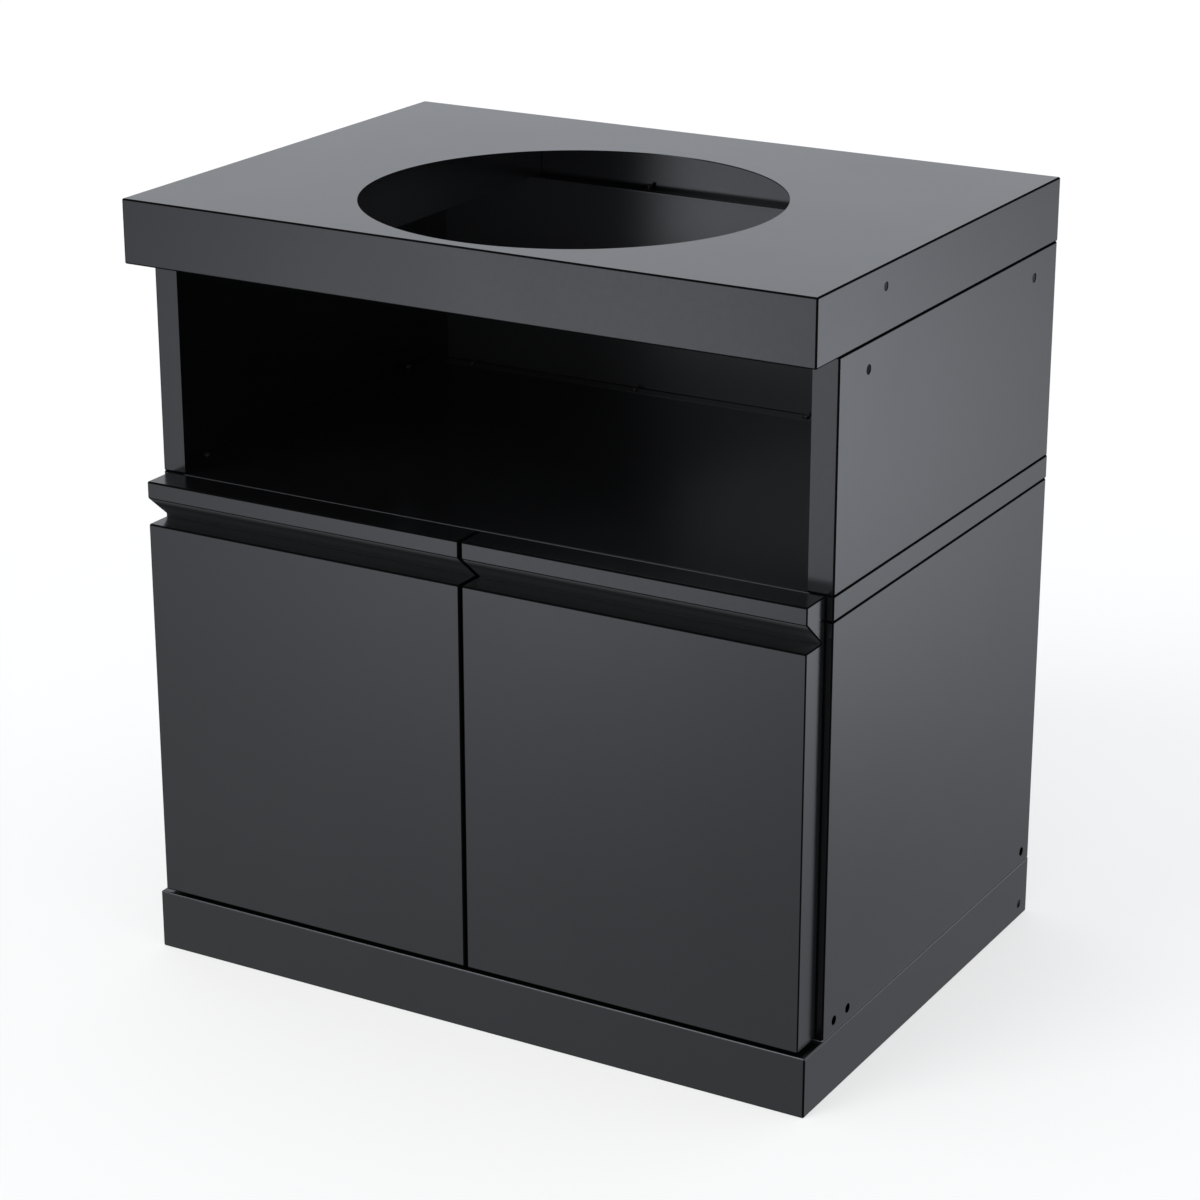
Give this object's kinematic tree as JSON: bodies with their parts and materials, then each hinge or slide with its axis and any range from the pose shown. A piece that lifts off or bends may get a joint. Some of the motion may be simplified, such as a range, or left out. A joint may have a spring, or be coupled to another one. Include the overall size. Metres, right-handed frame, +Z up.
{
  "type": "kamado grill station",
  "caption": "Freestanding black sheet-steel kitchen module with a round worktop cut-out over an open grill bay, and a cupboard below with hinged doors that have recessed finger grips.",
  "frame": {"origin": "middle of the footprint, on the floor", "axes": "+Z up; the front with the doors faces -Y; +X is to the right of someone facing the doors"},
  "size_m": [0.85, 0.612, 0.908],
  "materials": {
    "black_coat": "satin black powder coat",
    "plated_steel": "zinc-plated, dull",
    "dark_screws": "black oxide",
    "bumper_rubber": "matte",
    "catch_plastic": "fine moulded grain",
    "magnet": "ground ferrite"
  },
  "bodies": {
    "cabinet": {"countertop": "black_coat", "upper_back": "black_coat", "shelf_pan": "black_coat", "shelf_beam_front": "black_coat", "shelf_beam_rear": "black_coat", "lower_back": "black_coat", "base_pan": "black_coat", "countertop_rib_left": "black_coat", "countertop_rib_right": "black_coat", "upper_side_left": "black_coat", "upper_side_right": "black_coat", "lower_side_left": "black_coat", "lower_side_right": "black_coat", "catch_housing_left": "catch_plastic", "catch_housing_right": "catch_plastic", "catch_magnet_left": "magnet", "catch_magnet_right": "magnet", "hinge_arm_low_left": "plated_steel", "hinge_arm_low_right": "plated_steel", "hinge_arm_high_left": "plated_steel", "hinge_arm_high_right": "plated_steel", "countertop_screws": "dark_screws", "bay_screws": "dark_screws", "shelf_screws": "dark_screws", "floor_screws": "dark_screws", "hinge_screws": "dark_screws", "catch_screws": "dark_screws"},
    "door_left": {"door_skin_left": "black_coat", "door_liner_left": "black_coat", "striker_plate_left": "plated_steel", "door_bumpers_left": "bumper_rubber", "hinge_bracket_low_left": "plated_steel", "hinge_bracket_high_left": "plated_steel", "hinge_pin_low_left": "plated_steel", "hinge_pin_high_left": "plated_steel"},
    "door_right": {"door_skin_right": "black_coat", "door_liner_right": "black_coat", "striker_plate_right": "plated_steel", "door_bumpers_right": "bumper_rubber", "hinge_bracket_low_right": "plated_steel", "hinge_bracket_high_right": "plated_steel", "hinge_pin_low_right": "plated_steel", "hinge_pin_high_right": "plated_steel"}
  },
  "joints": [
    {"name": "door_right_hinge", "type": "hinge", "parent": "cabinet", "child": "door_right", "pos_m": [0.4099, -0.2825, 0.3133], "axis": [0, 0, 1], "range_deg": [0, 105]},
    {"name": "door_left_hinge", "type": "hinge", "parent": "cabinet", "child": "door_left", "pos_m": [-0.4099, -0.2825, 0.3133], "axis": [0, 0, -1], "range_deg": [0, 105]}
  ]
}
